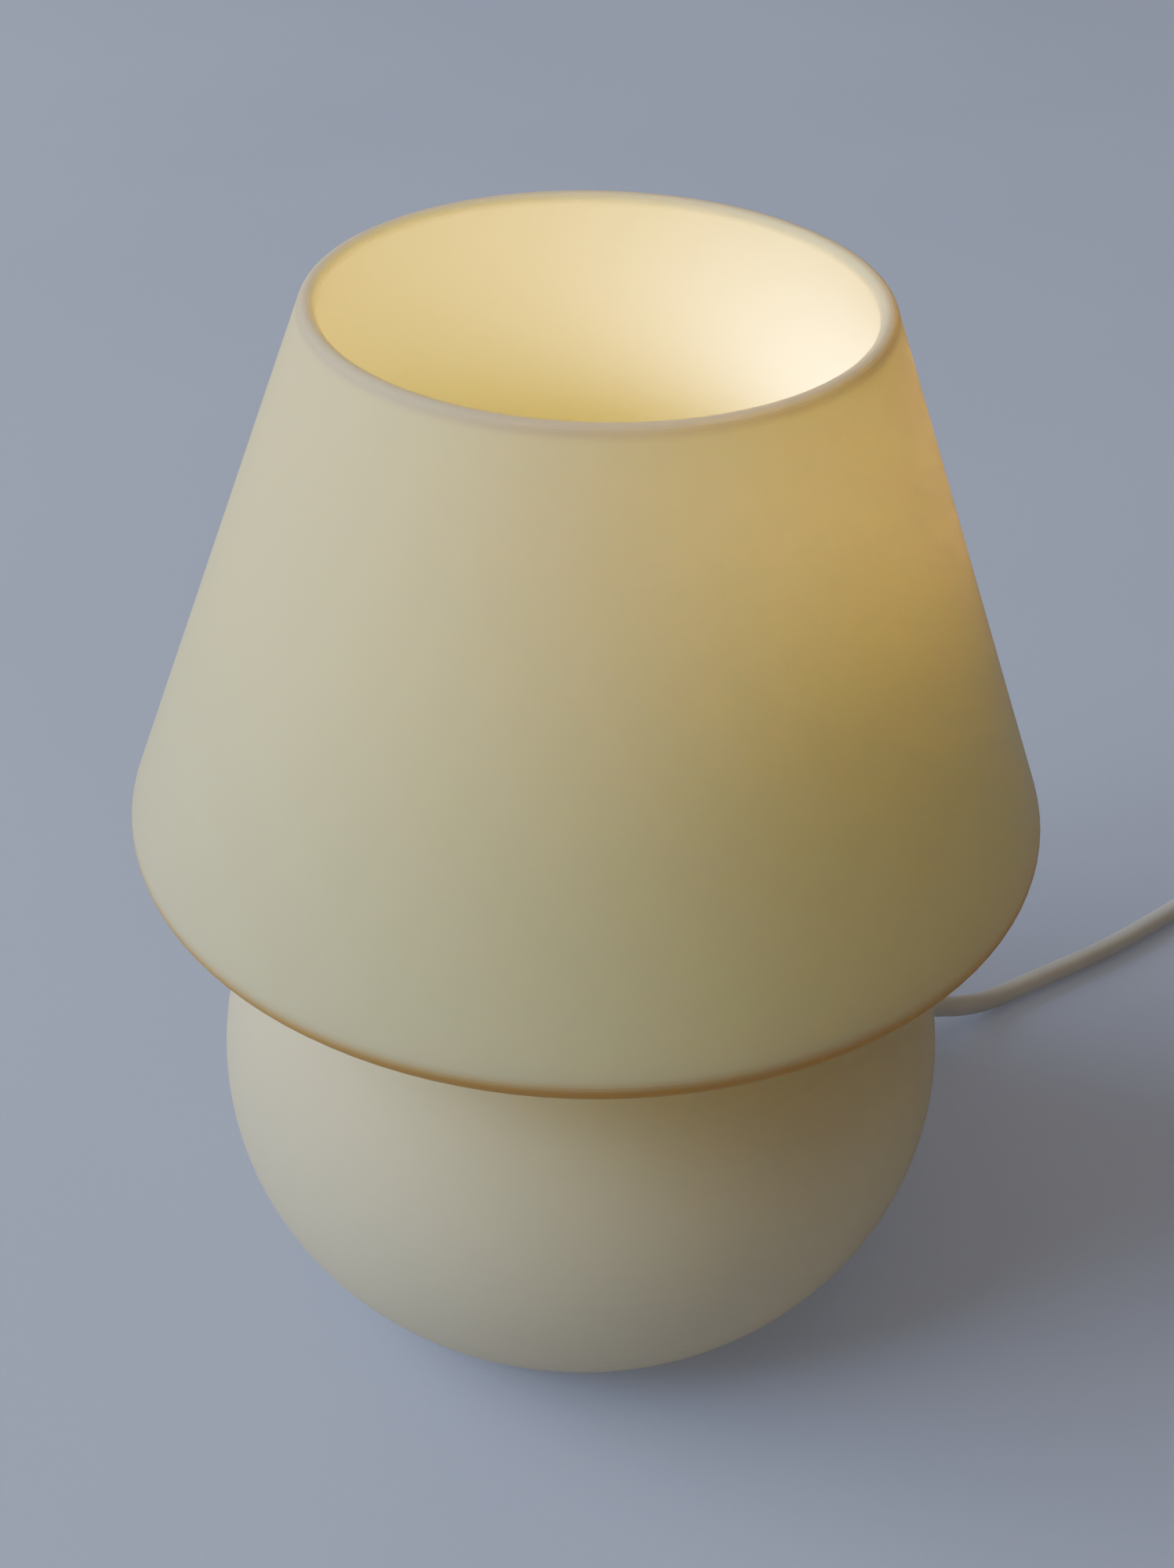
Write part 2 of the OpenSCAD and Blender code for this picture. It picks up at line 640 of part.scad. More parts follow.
module bulb_insulator() color("#2b2a28") {
    top_r = screw_d / 2 - cap_wall - bore_gap;
    at_holder() rotate_extrude() polygon([[0, insulator_z], [2.6, insulator_z],
        [top_r - 0.9, screw_z - 0.4], [top_r, screw_z], [top_r, screw_z + 2.4], [0, screw_z + 2.4]]);
}

module bulb_contact() color("#b8b6ae") {
    at_holder() rotate_extrude() polygon([[0, tip_z], [1.6, tip_z], [2.3, tip_z + 0.4],
        [2.3, tip_z + tip_t], [0, tip_z + tip_t]]);
}

module cord_lead() color("#e4dfd0") {
    tube(lead_route, cord_d / 2, 12);
}

module cord_tail() color("#e4dfd0") {
    tube(tail_route, cord_d / 2, 12);
}

module cord_coil() color("#e4dfd0") {
    tube(coil_route, cord_d / 2, 6);
}

module cord_end() color("#e4dfd0") {
    tube(end_route, cord_d / 2, 12);
}

module loop_shape(r) {
    for (x = tie_ends) translate([x, 0]) circle(r);
    translate([tie_ends[0], -r]) square([tie_ends[1] - tie_ends[0], 2 * r]);
}

module coil_tie() color("#d8d4c8") {
    translate([coil_start.x - coil_out, coil_start.y, tie_mid]) rotate([0, 0, -90]) rotate([90, 0, 0])
        linear_extrude(tie_w, center = true) difference() {
            loop_shape(tie_in + tie_t);
            loop_shape(tie_in);
        }
}

// Outline of the switch, bowed along both sides
module switch_outline(inset) {
    centre = switch_arc - switch_w / 2;
    intersection() {
        square([switch_l - 2 * inset, switch_w], center = true);
        translate([0, centre]) circle(switch_arc - inset, $fn = 360);
        translate([0, -centre]) circle(switch_arc - inset, $fn = 360);
    }
}

module cord_way() {
    translate([0, 0, split_z]) rotate([0, 90, 0])
        cylinder(r = cord_d / 2 + bore_gap, h = switch_l + 2, center = true);
}

// Lower shell, with a stepped line round it where the upper shell meets it
module switch_base() color("#e9e4d6") {
    at_switch() difference() {
        union() {
            difference() {
                union() {
                    linear_extrude(split_z - seam) switch_outline(0);
                    linear_extrude(split_z) switch_outline(seam);
                }
                translate([0, 0, switch_wall]) linear_extrude(split_z) switch_outline(switch_wall);
            }
            for (s = [-1, 1]) translate([s * post_x, 0, 0]) cylinder(r = post_r, h = split_z);
        }
        difference() {
            cord_way();
            cube([2 * post_x, switch_w, 3 * split_z], center = true);
            for (s = [-1, 1]) translate([s * post_x, 0, 0]) cylinder(r = post_r, h = 2 * split_z);
        }
        for (s = [-1, 1]) translate([s * post_x, 0, -1]) {
            cylinder(r = fix_r + 3 * bore_gap, h = split_z + 2);
            cylinder(r = head.x + 2 * bore_gap, h = head_seat + 1);
        }
    }
}

module switch_cover() color("#e9e4d6") {
    at_switch() difference() {
        union() {
            difference() {
                intersection() {
                    translate([0, 0, split_z]) linear_extrude(switch_h) switch_outline(0);
                    translate([0, 0, switch_h - crown_r]) rotate([0, 90, 0])
                        cylinder(r = crown_r, h = switch_l + 2, center = true, $fn = 360);
                }
                translate([0, 0, split_z - 1]) linear_extrude(roof_z - split_z + 1)
                    switch_outline(switch_wall);
            }
            for (s = [-1, 1]) {
                translate([s * post_x, 0, split_z]) cylinder(r = post_r, h = roof_z - split_z + 0.5);
                translate([-4, s * (window_w + cheek_t) / 2 - cheek_t / 2, pivot_z - 3])
                    cube([8, cheek_t, roof_z - pivot_z + 3.5]);
            }
        }
        translate([-window_l / 2, -window_w / 2, pivot_z - 4]) cube([window_l, window_w, switch_h]);
        translate([0, 0, pivot_z]) rotate([90, 0, 0])
            cylinder(r = pivot_r + run_fit, h = window_w + 2 * cheek_t - 1, center = true);
        difference() {
            cord_way();
            cube([2 * post_x, switch_w, 3 * split_z], center = true);
            for (s = [-1, 1]) translate([s * post_x, 0, 0]) cylinder(r = post_r, h = 2 * split_z);
        }
        for (s = [-1, 1]) translate([s * post_x, 0, split_z - 1])
            cylinder(r = fix_r + run_fit, h = roof_z - split_z + 1);
    }
}

// Rocker with a hollow top, round ends about its pivot and two pivot pins
module switch_rocker() color("#f3efe4") {
    rise = rocker_r * tan(rocker_tilt);
    at_rocker() {
        rotate([90, 0, 0]) linear_extrude(rocker_w, center = true) intersection() {
            circle(rocker_r);
            polygon([[-rocker_r - 1, rocker_base], [rocker_r + 1, rocker_base],
                [rocker_r + 1, rocker_crest + rise], [0, rocker_crest],
                [-rocker_r - 1, rocker_crest + rise]]);
        }
        rotate([90, 0, 0]) cylinder(r = pivot_r, h = window_w + 2 * cheek_t - 2, center = true);
    }
}

// Brass arm under the rocker, with a cross bar and two contact buttons
module switch_bridge() color("#c9a75a") {
    bar = 2 * dome.x + 0.4;
    low = rocker_base - bridge_t;
    at_rocker() {
        translate([-3, -2, low]) cube([dome_at.x + 3, 4, bridge_t]);
        translate([dome_at.x - bar / 2, -dome_at.y - bar / 2, low])
            cube([bar, 2 * dome_at.y + bar, bridge_t]);
        for (s = [-1, 1]) translate([dome_at.x, s * dome_at.y, dome_low])
            cylinder(r = dome.x, h = dome.y + 0.2);
    }
}

module switch_terminals() color("#c9a75a") {
    size = [2 * dome.x + 1.6, 2 * dome.x + 0.8];
    at_switch() for (s = [-1, 1]) translate([dome_x, s * dome_at.y, switch_wall]) difference() {
        union() {
            translate([-size.x / 2, -size.y / 2, 0]) cube([size.x, size.y, dome_z - switch_wall]);
            translate([size.x / 2 - 0.5, -size.y / 2, 0]) cube([clamp_l, size.y, 4]);
        }
        translate([size.x / 2 + 1, 0, 2]) rotate([0, 90, 0]) cylinder(r = core_r, h = clamp_l);
    }
}

module switch_screws() color("#8f8f8a") {
    seat = head_seat - bore_gap;
    at_switch() for (s = [-1, 1]) translate([s * post_x, 0, 0]) {
        translate([0, 0, seat - head.y]) cylinder(r = head.x, h = head.y);
        translate([0, 0, seat - 0.5]) cylinder(r = fix_r, h = roof_z - seat - 0.5);
    }
}

// Flat two-pin plug: waisted body with a six-sided face and a ribbed bend relief
module plug_body() color("#e9e4d6") {
    half = plug_w / 2;
    flat = plug_t / 2;
    slope = 5;
    grip = relief_ends[1];
    step = relief_l / relief_ribs;
    relief = [for (i = [0:relief_ribs - 1]) let (x = i * step, r = relief_r(x))
        each [[r, x], [r, x + step * 0.6], [r - rib_h, x + step * 0.6], [r - rib_h, x + step]]];
    at_plug() difference() {
        union() {
            rotate([0, 90, 0]) rotate_extrude()
                polygon(concat([[0, 0]], relief, [[grip - rib_h, relief_l + 3], [0, relief_l + 3]]));
            intersection() {
                translate([0, 0, -flat]) linear_extrude(plug_t) polygon(concat(
                    [[relief_l, -grip - 1]],
                    arc([plug_cheek, shoulder_r - half], shoulder_r, 225, 270, 8),
                    [[plug_face - 1, -half], [plug_face, 1 - half]],
                    [[plug_face, half - 1], [plug_face - 1, half]],
                    arc([plug_cheek, half - shoulder_r], shoulder_r, 90, 135, 8),
                    [[relief_l, grip + 1]]));
                rotate([90, 0, 90]) linear_extrude(plug_face + 1)
                    polygon([[-half, 0], [slope - half, -flat], [half - slope, -flat], [half, 0],
                        [half - slope, flat], [slope - half, flat]]);
            }
        }
        for (s = [-1, 1]) translate([plug_face - pin_root, s * pin_gap / 2, 0]) rotate([0, 90, 0])
            cylinder(r = pin_core + run_fit, h = pin_root + 1);
    }
}

module plug_pins() color("#c9c6b8") {
    bare = plug_face + sleeve_l;
    nose = 1;
    at_plug() for (s = [-1, 1]) translate([0, s * pin_gap / 2, 0]) rotate([0, 90, 0]) rotate_extrude()
        polygon([[0, plug_face - pin_root], [pin_core, plug_face - pin_root], [pin_core, bare],
            [pin_d / 2, bare], [pin_d / 2, plug_face + pin_l - nose], [pin_d / 2 - nose, plug_face + pin_l],
            [0, plug_face + pin_l]]);
}

module pin_sleeves() color("#2f2e2c") {
    at_plug() for (s = [-1, 1]) translate([plug_face, s * pin_gap / 2, 0]) rotate([0, 90, 0])
        hollow_tube(sleeve_r, pin_core + run_fit, sleeve_l);
}

glass_body();
outer_washer();
inner_washer();
entry_nipple();
entry_nut();
cord_bush();
bracket();
lock_washer();
holder_nipple();
holder_nut();
holder_cap();
holder_body();
contact_block();
screw_shell();
centre_contact();
terminals();
terminal_screws();
inner_lead();
inner_cores();
bulb_dome();
bulb_housing();
bulb_board();
bulb_leds();
bulb_cap();
bulb_insulator();
bulb_contact();
cord_lead();
cord_tail();
cord_coil();
cord_end();
coil_tie();
switch_base();
switch_cover();
switch_rocker();
switch_bridge();
switch_terminals();
switch_screws();
plug_body();
plug_pins();
pin_sleeves();
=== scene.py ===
"""Looks of a lit glass mushroom lamp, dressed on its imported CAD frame.

Lengths are in metres, in the CAD's frame. Only the cord's points and sizes are in millimetres, as
in the CAD source.
"""

import math

import bpy
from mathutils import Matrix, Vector


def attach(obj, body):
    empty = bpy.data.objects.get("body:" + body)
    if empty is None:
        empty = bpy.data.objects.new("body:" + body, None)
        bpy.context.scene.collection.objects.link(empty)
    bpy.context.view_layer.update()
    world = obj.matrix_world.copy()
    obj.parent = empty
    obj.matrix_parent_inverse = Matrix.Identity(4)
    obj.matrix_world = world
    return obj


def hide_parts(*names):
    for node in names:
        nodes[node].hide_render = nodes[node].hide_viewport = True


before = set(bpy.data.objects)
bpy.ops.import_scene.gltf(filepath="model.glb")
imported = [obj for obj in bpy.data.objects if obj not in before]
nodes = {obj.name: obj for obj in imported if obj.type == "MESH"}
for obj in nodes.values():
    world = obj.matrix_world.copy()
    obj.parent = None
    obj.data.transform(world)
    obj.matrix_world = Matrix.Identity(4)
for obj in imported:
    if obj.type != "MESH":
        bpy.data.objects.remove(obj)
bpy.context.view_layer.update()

# Camera, at the photograph's viewing angle
CAMERA_AT = (0.0, -0.350645, 0.365712)
CAMERA_DOWN = math.radians(35.603)
CAMERA_ROLL = math.radians(1.356)
CAMERA_LENS = 48.59

# Free cord, in millimetres, with the points that the CAD source gives it
MM_PER_M = 1000
CORD_D = 5.2
CORD_ROUNDNESS = 5
CORD_STEPS = 4
LEAD_EXIT = (84.744, 49.918, 12.799)
LEAD_OUT = (0.78968, 0.46516, -0.4)
LEAD_STRAIGHT = 1.5 * CORD_D
LEAD_POINTS = [
    (98, 58.4, 6), (105, 63.6, 3.4), (113, 69.2, 2.7), (122, 75, 2.6), (131, 80.6, 2.6),
    (140, 86.6, 2.6), (148, 92.6, 2.6), (156, 99, 2.6), (164, 105.6, 2.6), (172, 112, 2.6),
    (181, 116.8, 2.6), (192, 118.4, 2.6), (203, 115.6, 2.6), (212, 109, 2.6), (218, 99.6, 2.8),
    (220, 89, 3.8), (220, 78, 6.2), (220, 69, 7.8), (220, 62, 8), (220, 57, 8)]
TAIL_POINTS = [
    (220, -7, 8), (220, -12, 8), (220, -20, 7.5), (220, -28, 6.1), (220, -36, 4.6), (220, -44, 3.6)]
END_POINTS = [
    (220, -71, 9.45), (220, -78, 8.4), (220, -84, 7.3), (220, -89, 6.85), (220, -94, 6.85)]

# Put-away coil, in millimetres. It winds inwards on the table, climbs within half a turn about its
# middle and winds outwards on top.
COIL_START = (220, -58)
COIL_TURNS = 7
COIL_STEPS = 24
COIL_R = 21
COIL_PITCH = CORD_D + 0.65
COIL_Z = 3.6
COIL_CLIMB = 0.25

# Noise has most of its values in this range
NOISE_RANGE = (0.3, 0.7)
NOISE_DETAIL = 4.0
BUMP_STRENGTH = 0.4

# Tones of the glass, with painted light and shade: each but the last three drifts between two
# colours
# Painted glow and shade: the shade's outer face is brighter and warmer towards the top, as if lit
# from within by the bulb, and darker towards the brim
SHADE_TOP_PAINTED_GLOW_TONES = ((0.88, 0.835, 0.455), (0.91, 0.865, 0.495))
SHADE_LOW_PAINTED_SHADE_TONES = ((0.715, 0.71, 0.46), (0.745, 0.74, 0.50))
# Painted light: the inside of the shade has its own tone, greener than the outer face, which stands
# in for the colour of the bulb's light on it
SHADE_INSIDE_PAINTED_LIGHT_TONES = ((0.85, 0.875, 0.50), (0.88, 0.905, 0.54))
# Painted light on the globe: warmer and brighter at the top, as if lit from within through the
# waist, darker and bluer at the foot, as if lit by light bounced from the bluish floor
GLOBE_TOP_PAINTED_GLOW_TONES = ((0.87, 0.80, 0.53), (0.90, 0.83, 0.57))
GLOBE_LOW_PAINTED_BOUNCE_TONES = ((0.745, 0.74, 0.60), (0.775, 0.77, 0.64))
# Amber line at the brim's fold: glass that is thicker at the fold, with painted shade under the
# brim warmed by a painted glow of the bulb
FOLD_THICK_GLASS_AND_PAINTED_SHADE = (0.58, 0.36, 0.10, 1)
# Painted light at the rim: a darker tan band of painted shade on its outer half, a bright yellow
# line of painted glow on its inner half
RIM_OUTER_PAINTED_SHADE = (0.70, 0.61, 0.45, 1)
RIM_INNER_PAINTED_GLOW = (0.97, 0.91, 0.54, 1)
GLASS_DRIFT = 9
GLASS_DRIFT_DETAIL = 2.0
GLASS_GRAIN = 1400
GLASS_ROUGH = (0.66, 0.78)
GLASS_BUMP = 0.00005

# Where one tone of the glass, with its painted light and shade, passes into another: heights,
# radii, and depths inwards from the shade's outer face, a cone given by the radius and height of
# its foot and head
SHADE_FOOT = (0.09074, 0.11741)
SHADE_HEAD = (0.05249, 0.2189)
# Heights over which the shade's painted glow sets in
SHADE_PAINTED_GLOW_RISE = (0.112, 0.185)
GLOBE_PAINTED_LIGHT_RISE = (0.03, 0.1)
WAIST_RISE = (0.106, 0.113)
PAINTED_INSIDE_DEPTH = (0.0012, 0.0024)
PAINTED_INSIDE_RISE = (0.1125, 0.115)
FOLD_DROP = (0.1182, 0.1148)
FOLD_REACH = (0.078, 0.0865)
RIM_PAINTED_LIGHT_DEPTH = (0.0012, 0.0024)
RIM_PAINTED_LIGHT_RISE = (0.2172, 0.2192)

# Dome of the bulb: its centre, the direction of its screw axis, which leans with the lampholder,
# and the heights over the centre between which its glow sets in
BULB_CENTRE = (0.03098, 0.01825, 0.15499)
BULB_UP = (0.14962, 0.08813, 0.98481)
GLOW_RISE = (0.010, 0.018)
GLOW_COLOUR = (1.0, 0.65, 0.01)
GLOW_STRENGTH = 136.0
DOME_TONES = ((0.86, 0.82, 0.74), (0.92, 0.89, 0.82))
DOME_DRIFT = 60
BLACK = (0.0, 0.0, 0.0)

# Rounded edges of switch and plug
EDGE_WIDTH = 0.0008
EDGE_SEGMENTS = 3
EDGE_ANGLE = math.radians(35)

# Floor, just under the lamp's foot, and sky
FLOOR_HALF = 4.0
FLOOR_Z = -0.0002
SKY_COLOUR = (0.72, 0.62, 0.49, 1)
SKY_STRENGTH = 0.15


def make_camera():
    data = bpy.data.cameras.new("camera")
    data.lens = CAMERA_LENS
    camera = bpy.data.objects.new("camera", data)
    camera.location = CAMERA_AT
    camera.rotation_mode = "ZYX"
    camera.rotation_euler = (math.pi / 2 - CAMERA_DOWN, 0, CAMERA_ROLL)
    bpy.context.collection.objects.link(camera)
    bpy.context.scene.camera = camera


def metres(place):
    return [x / MM_PER_M for x in place]


def coil_point(turn):
    """Point of the coil after that many turns, in millimetres."""
    middle = COIL_TURNS / 2
    from_middle = abs(turn - middle)
    if from_middle < COIL_CLIMB:
        from_middle = from_middle ** 2 / (2 * COIL_CLIMB) + COIL_CLIMB / 2
    radius = COIL_R + COIL_PITCH * from_middle
    climb = min(max((turn - middle + COIL_CLIMB) / (2 * COIL_CLIMB), 0), 1)
    centre = COIL_START[0] - COIL_R - COIL_PITCH * middle
    angle = 2 * math.pi * turn
    return (centre + radius * math.cos(angle), COIL_START[1] - radius * math.sin(angle),
            COIL_Z + COIL_PITCH * climb ** 2 * (3 - 2 * climb))


def lead_route():
    """From the bush at the globe, first straight out, to the switch."""
    second = [p + LEAD_STRAIGHT * d for p, d in zip(LEAD_EXIT, LEAD_OUT)]
    return [LEAD_EXIT, second, *LEAD_POINTS]


def tail_route():
    """From the switch through the coil to the plug, straight for a diameter at the coil's ends."""
    turns = [coil_point(i / COIL_STEPS) for i in range(COIL_TURNS * COIL_STEPS + 1)]
    first, last = turns[0], turns[-1]
    return [*TAIL_POINTS, (first[0], first[1] + CORD_D, first[2]), *turns,
            (last[0], last[1] - CORD_D, last[2]), *END_POINTS]


def make_cord(name, route):
    """Round cord along a smooth curve through the route's points."""
    curve = bpy.data.curves.new(name, "CURVE")
    curve.dimensions = "3D"
    curve.bevel_depth = 1  # the points hold the radius
    curve.bevel_resolution = CORD_ROUNDNESS
    curve.resolution_u = CORD_STEPS
    curve.use_fill_caps = True
    spline = curve.splines.new("BEZIER")
    spline.bezier_points.add(len(route) - 1)
    for point, place in zip(spline.bezier_points, route):
        point.co = metres(place)
        point.radius = CORD_D / 2 / MM_PER_M
        point.handle_left_type = point.handle_right_type = "AUTO"
    cord = bpy.data.objects.new(name, curve)
    bpy.context.collection.objects.link(cord)
    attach(cord, "lamp")
    return cord


make_camera()
lead = make_cord("lead", lead_route())
tail = make_cord("tail_and_coil", tail_route())
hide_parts("cord_lead")
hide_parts("cord_tail", "cord_coil", "cord_end")


def new_material(name, **values):
    """Principled material. The values are uniform settings, named by the shader's sockets."""
    material = bpy.data.materials.new(name)
    material.use_nodes = True
    shader = material.node_tree.nodes["Principled BSDF"]
    for socket, value in values.items():
        shader.inputs[socket.replace("_", " ")].default_value = value
    return material, material.node_tree, shader


def add_node(tree, kind, inputs=None, **settings):
    """Shader node. An input is a number, a colour, or another node's output, which is linked."""
    node = tree.nodes.new("ShaderNode" + kind)
    for name, value in settings.items():
        setattr(node, name, value)
    for name, value in (inputs or {}).items():
        if isinstance(value, bpy.types.NodeSocket):
            tree.links.new(value, node.inputs[name])
        else:
            node.inputs[name].default_value = value
    return node


def object_coordinates(tree):
    return add_node(tree, "TexCoord").outputs["Object"]


def noise(tree, where, scale, detail=NOISE_DETAIL):
    inputs = {"Vector": where, "Scale": scale, "Detail": detail}
    return add_node(tree, "TexNoise", inputs).outputs["Fac"]


def vector_math(tree, operation, output, *vectors):
    inputs = dict(enumerate(vectors))
    return add_node(tree, "VectorMath", inputs, operation=operation).outputs[output]


def ramp(tree, value, *stops):
    """Colours at places from 0 to 1 along a value."""
    node = add_node(tree, "ValToRGB", {"Fac": value})
    for element, (place, colour) in zip(node.color_ramp.elements, stops):
        element.position = place
        element.color = (*colour, 1)
    return node.outputs["Color"]


def drifting(tree, cloud, tones):
    """Colour that drifts between two tones with a noise."""
    return ramp(tree, cloud, *zip(NOISE_RANGE, tones))


def map_range(tree, value, given, wanted=(0, 1), **settings):
    """The value's given range as the wanted one."""
    inputs = {"Value": value, "From Min": given[0], "From Max": given[1],
              "To Min": wanted[0], "To Max": wanted[1]}
    return add_node(tree, "MapRange", inputs, **settings).outputs["Result"]


def fade(tree, value, given):
    """Smooth change from 0 to 1 over the value's given range."""
    return map_range(tree, value, given, interpolation_type="SMOOTHSTEP")


def math_node(tree, operation, a, b):
    return add_node(tree, "Math", {0: a, 1: b}, operation=operation).outputs["Value"]


def blend(tree, share, under, over):
    """One colour laid over another by a share from 0 to 1."""
    inputs = {0: share, 6: under, 7: over}  # the Mix node's inputs for colours
    return add_node(tree, "Mix", inputs, data_type="RGBA").outputs[2]


def add_grain(tree, shader, grain, rough, depth):
    """Roughness and bump from one fine grain."""
    tree.links.new(map_range(tree, grain, NOISE_RANGE, rough), shader.inputs["Roughness"])
    inputs = {"Height": grain, "Distance": depth, "Strength": BUMP_STRENGTH}
    bump = add_node(tree, "Bump", inputs)
    tree.links.new(bump.outputs["Normal"], shader.inputs["Normal"])


def grained(name, dark, light, drift, grain, rough, depth, **values):
    """Material whose colour drifts between two tones at one scale, with a finer grain.

    The grain makes the roughness, between two values, and a bump of some depth.
    """
    material, tree, shader = new_material(name, **values)
    where = object_coordinates(tree)
    tone = drifting(tree, noise(tree, where, drift), (dark, light))
    tree.links.new(tone, shader.inputs["Base Color"])
    add_grain(tree, shader, noise(tree, where, grain), rough, depth)
    return material


def glass_tone_with_painted_light(tree, where):
    """Tone of the glass with painted light and shade: by height, and by place on the inside, at the
    fold and at the rim.
    """
    cloud = noise(tree, where, GLASS_DRIFT, GLASS_DRIFT_DETAIL)
    height = add_node(tree, "SeparateXYZ", {"Vector": where}).outputs["Z"]
    radius = vector_math(tree, "LENGTH", "Value",
                         vector_math(tree, "MULTIPLY", "Vector", where, (1, 1, 0)))
    outer_face = map_range(tree, height, (SHADE_FOOT[1], SHADE_HEAD[1]),
                           (SHADE_FOOT[0], SHADE_HEAD[0]), clamp=False)
    depth = math_node(tree, "SUBTRACT", outer_face, radius)
    # Painted glow and shade: brighter and warmer towards the shade's top, darker towards its brim
    shade = blend(tree, fade(tree, height, SHADE_PAINTED_GLOW_RISE), drifting(tree, cloud, SHADE_LOW_PAINTED_SHADE_TONES),
                  drifting(tree, cloud, SHADE_TOP_PAINTED_GLOW_TONES))
    # Painted light: the globe warmer at the top and darker, bluer at the foot
    globe = blend(tree, fade(tree, height, GLOBE_PAINTED_LIGHT_RISE), drifting(tree, cloud, GLOBE_LOW_PAINTED_BOUNCE_TONES),
                  drifting(tree, cloud, GLOBE_TOP_PAINTED_GLOW_TONES))
    tone = blend(tree, fade(tree, height, WAIST_RISE), globe, shade)
    # Painted light: the inside of the shade in its own tone
    inside = math_node(tree, "MULTIPLY", fade(tree, depth, PAINTED_INSIDE_DEPTH),
                       fade(tree, height, PAINTED_INSIDE_RISE))
    tone = blend(tree, inside, tone, drifting(tree, cloud, SHADE_INSIDE_PAINTED_LIGHT_TONES))
    # Painted shade and glow, over thicker glass, at the brim's fold
    at_fold = math_node(tree, "MULTIPLY", fade(tree, height, FOLD_DROP),
                        fade(tree, radius, FOLD_REACH))
    tone = blend(tree, at_fold, tone, FOLD_THICK_GLASS_AND_PAINTED_SHADE)
    # Painted shade on the rim's outer half, painted glow on its inner half
    rim = blend(tree, fade(tree, depth, RIM_PAINTED_LIGHT_DEPTH), RIM_OUTER_PAINTED_SHADE, RIM_INNER_PAINTED_GLOW)
    return blend(tree, fade(tree, height, RIM_PAINTED_LIGHT_RISE), tone, rim)


def satin_glass():
    """Cream glass, etched to a satin skin, that scatters the light of the bulb through its wall."""
    material, tree, shader = new_material(
        "satin_glass", Subsurface_Weight=1.0, Subsurface_Radius=(1.0, 0.95, 0.85),
        Subsurface_Scale=0.0032, Transmission_Weight=0.40, IOR=1.45, Coat_Weight=1.0,
        Coat_Roughness=0.5, Coat_IOR=1.1, Coat_Tint=(0.988, 0.95, 0.86, 1))
    where = object_coordinates(tree)
    tree.links.new(glass_tone_with_painted_light(tree, where), shader.inputs["Base Color"])
    add_grain(tree, shader, noise(tree, where, GLASS_GRAIN), GLASS_ROUGH, GLASS_BUMP)
    return material


def lit_dome():
    """Milky dome of the bulb, which shines on its upper part."""
    material, tree, shader = new_material("lit_dome", Roughness=0.35,
                                          Emission_Strength=GLOW_STRENGTH)
    where = object_coordinates(tree)
    from_centre = vector_math(tree, "SUBTRACT", "Vector", where, BULB_CENTRE)
    height = vector_math(tree, "DOT_PRODUCT", "Value", from_centre, BULB_UP)
    glow = ramp(tree, map_range(tree, height, GLOW_RISE), (0, BLACK), (1, GLOW_COLOUR))
    tree.links.new(glow, shader.inputs["Emission Color"])
    tone = drifting(tree, noise(tree, where, DOME_DRIFT), DOME_TONES)
    tree.links.new(tone, shader.inputs["Base Color"])
    return material


def dress(material, *names):
    for name in names:
        slots = nodes[name].data.materials
        slots.clear()
        slots.append(material)
        nodes[name].data.shade_smooth()


def round_edges(*names):
    for name in names:
        bevel = nodes[name].modifiers.new("rounded_edges", "BEVEL")
        bevel.width = EDGE_WIDTH
        bevel.segments = EDGE_SEGMENTS
        bevel.angle_limit = EDGE_ANGLE


sheath = grained("cord_sheath", dark=(0.45, 0.43, 0.395), light=(0.52, 0.50, 0.46),
                 drift=40, grain=900, rough=(0.42, 0.58), depth=0.00006)
for cord in (lead, tail):
    cord.data.materials.append(sheath)
dress(sheath, "inner_lead")
dress(satin_glass(), "glass_body")
dress(lit_dome(), "bulb_dome")
dress(grained("silicone", dark=(0.72, 0.70, 0.64), light=(0.80, 0.78, 0.72),
              drift=60, grain=700, rough=(0.5, 0.7), depth=0.00008),
      "outer_washer", "inner_washer")
dress(grained("zinc_steel", dark=(0.46, 0.47, 0.46), light=(0.62, 0.62, 0.58),
              drift=90, grain=500, rough=(0.25, 0.42), depth=0.00003, Metallic=1.0),
      "entry_nipple", "entry_nut", "bracket", "lock_washer", "holder_nipple", "holder_nut",
      "terminal_screws", "switch_screws")
dress(grained("soft_plastic", dark=(0.62, 0.56, 0.45), light=(0.70, 0.64, 0.53),
              drift=50, grain=800, rough=(0.45, 0.6), depth=0.00006),
      "cord_bush")
dress(grained("holder_plastic", dark=(0.70, 0.66, 0.55), light=(0.76, 0.72, 0.61),
              drift=45, grain=1200, rough=(0.35, 0.5), depth=0.00004),
      "holder_cap", "holder_body")
dress(grained("insulator_block", dark=(0.66, 0.63, 0.55), light=(0.76, 0.73, 0.66),
              drift=80, grain=900, rough=(0.5, 0.7), depth=0.00006),
      "contact_block")
dress(grained("brass", dark=(0.62, 0.44, 0.16), light=(0.80, 0.62, 0.28),
              drift=70, grain=600, rough=(0.22, 0.4), depth=0.00003, Metallic=1.0),
      "screw_shell", "centre_contact", "terminals", "switch_bridge", "switch_terminals")
dress(grained("core_insulation", dark=(0.10, 0.16, 0.34), light=(0.14, 0.20, 0.40),
              drift=60, grain=900, rough=(0.35, 0.5), depth=0.00004),
      "inner_cores")
dress(grained("nickel", dark=(0.60, 0.58, 0.53), light=(0.74, 0.72, 0.67),
              drift=80, grain=700, rough=(0.15, 0.3), depth=0.00002, Metallic=1.0),
      "bulb_cap", "plug_pins")
dress(grained("black_glass", dark=(0.012, 0.012, 0.014), light=(0.03, 0.03, 0.03),
              drift=90, grain=500, rough=(0.08, 0.2), depth=0.00003),
      "bulb_insulator")
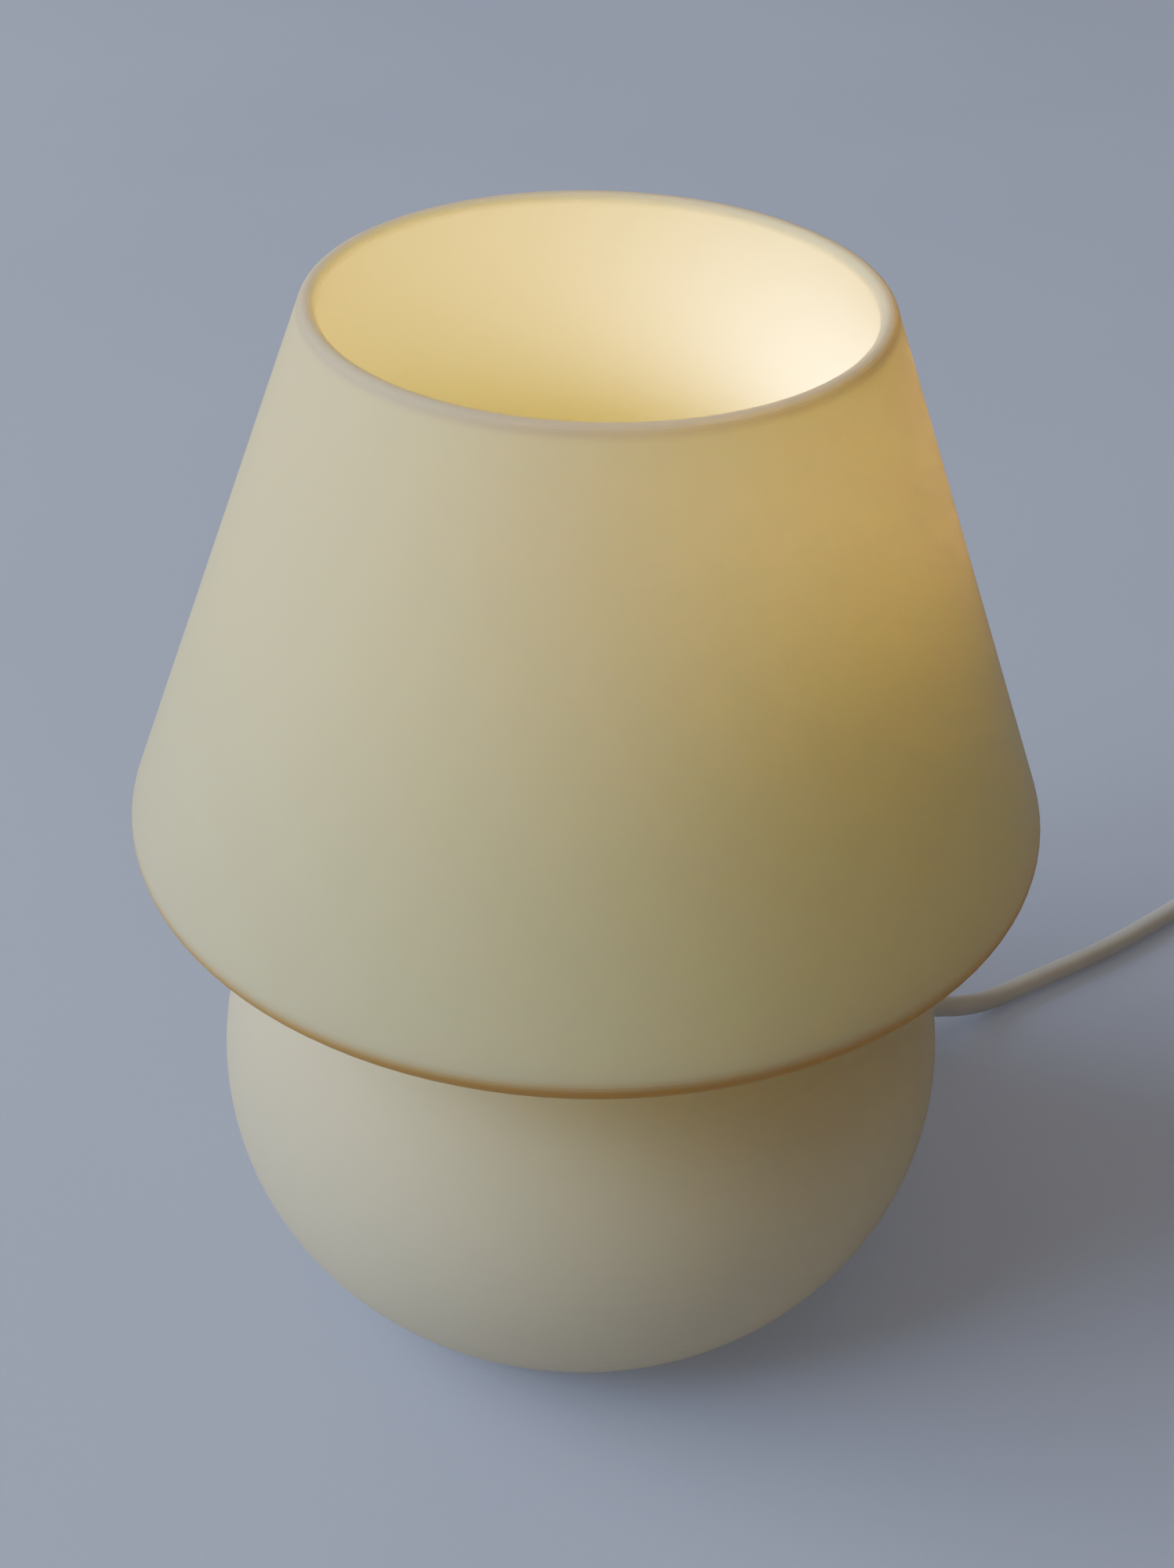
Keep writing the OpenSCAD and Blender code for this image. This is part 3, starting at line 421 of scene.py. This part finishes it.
dress(grained("solder", dark=(0.42, 0.42, 0.40), light=(0.58, 0.58, 0.56),
              drift=200, grain=800, rough=(0.3, 0.5), depth=0.00006, Metallic=1.0),
      "bulb_contact")
dress(grained("bulb_plastic", dark=(0.78, 0.77, 0.73), light=(0.84, 0.83, 0.79),
              drift=45, grain=1100, rough=(0.28, 0.4), depth=0.00003),
      "bulb_housing")
dress(grained("board_white", dark=(0.70, 0.71, 0.68), light=(0.80, 0.80, 0.77),
              drift=120, grain=900, rough=(0.4, 0.55), depth=0.00003),
      "bulb_board")
dress(grained("led_phosphor", dark=(0.72, 0.52, 0.08), light=(0.84, 0.64, 0.14),
              drift=900, grain=2500, rough=(0.3, 0.5), depth=0.00003,
              Emission_Color=(1.0, 0.74, 0.34, 1), Emission_Strength=20.0),
      "bulb_leds")
dress(grained("tie_plastic", dark=(0.60, 0.58, 0.52), light=(0.68, 0.66, 0.60),
              drift=60, grain=800, rough=(0.4, 0.55), depth=0.00005),
      "coil_tie")
dress(grained("switch_plastic", dark=(0.66, 0.61, 0.50), light=(0.73, 0.68, 0.57),
              drift=35, grain=1500, rough=(0.35, 0.5), depth=0.00005),
      "switch_base", "switch_cover")
dress(grained("rocker_plastic", dark=(0.72, 0.68, 0.58), light=(0.78, 0.74, 0.64),
              drift=35, grain=900, rough=(0.2, 0.32), depth=0.00002),
      "switch_rocker")
dress(grained("plug_plastic", dark=(0.64, 0.59, 0.48), light=(0.71, 0.66, 0.55),
              drift=35, grain=1500, rough=(0.38, 0.52), depth=0.00005),
      "plug_body")
dress(grained("sleeve_plastic", dark=(0.012, 0.012, 0.012), light=(0.03, 0.03, 0.03),
              drift=90, grain=900, rough=(0.4, 0.55), depth=0.00004),
      "pin_sleeves")
round_edges("switch_base", "switch_cover", "switch_rocker", "plug_body")


def make_floor():
    """Plain pale floor, with a faint light of its own that keeps the lamp's shadow pale."""
    mesh = bpy.data.meshes.new("floor")
    mesh.from_pydata([(-FLOOR_HALF, -FLOOR_HALF, 0), (FLOOR_HALF, -FLOOR_HALF, 0),
                      (FLOOR_HALF, FLOOR_HALF, 0), (-FLOOR_HALF, FLOOR_HALF, 0)],
                     [], [(0, 1, 2, 3)])
    floor = bpy.data.objects.new("floor", mesh)
    floor.location.z = FLOOR_Z
    bpy.context.collection.objects.link(floor)
    mesh.materials.append(grained("floor", dark=(0.232, 0.254, 0.357), light=(0.258, 0.284, 0.387),
                                  drift=3, grain=400, rough=(0.8, 0.9), depth=0.0001,
                                  Emission_Color=(0.075, 0.077, 0.088, 1), Emission_Strength=1.0))


def make_light(name, place, target, size, power, colour):
    """Soft rectangular light that faces its target."""
    data = bpy.data.lights.new(name, "AREA")
    data.shape = "RECTANGLE"
    data.size, data.size_y = size
    data.energy = power
    data.color = colour
    light = bpy.data.objects.new(name, data)
    light.location = place
    facing = Vector(target) - Vector(place)
    light.rotation_euler = facing.to_track_quat("-Z", "Y").to_euler()
    light.visible_camera = False
    bpy.context.collection.objects.link(light)


def make_sky():
    world = bpy.data.worlds.new("sky")
    world.use_nodes = True
    background = world.node_tree.nodes["Background"]
    background.inputs["Color"].default_value = SKY_COLOUR
    background.inputs["Strength"].default_value = SKY_STRENGTH
    bpy.context.scene.world = world


make_floor()
make_light("window", place=(-2.805, -0.24, 1.9), target=(0, 0, 0.1), size=(3.3, 2.4),
           power=218.0, colour=(0.76, 0.88, 1.05))
make_light("fill", place=(0.45, -3.9, 0.8), target=(0, 0, 0.05), size=(3.6, 1.5),
           power=14.4, colour=(1.0, 0.91, 0.77))
make_light("ceiling", place=(0, 0.3, 2.2), target=(0, 0, 0), size=(2.6, 2.6),
           power=14.0, colour=(1.0, 0.89, 0.74))
make_sky()

bpy.context.view_layer.update()
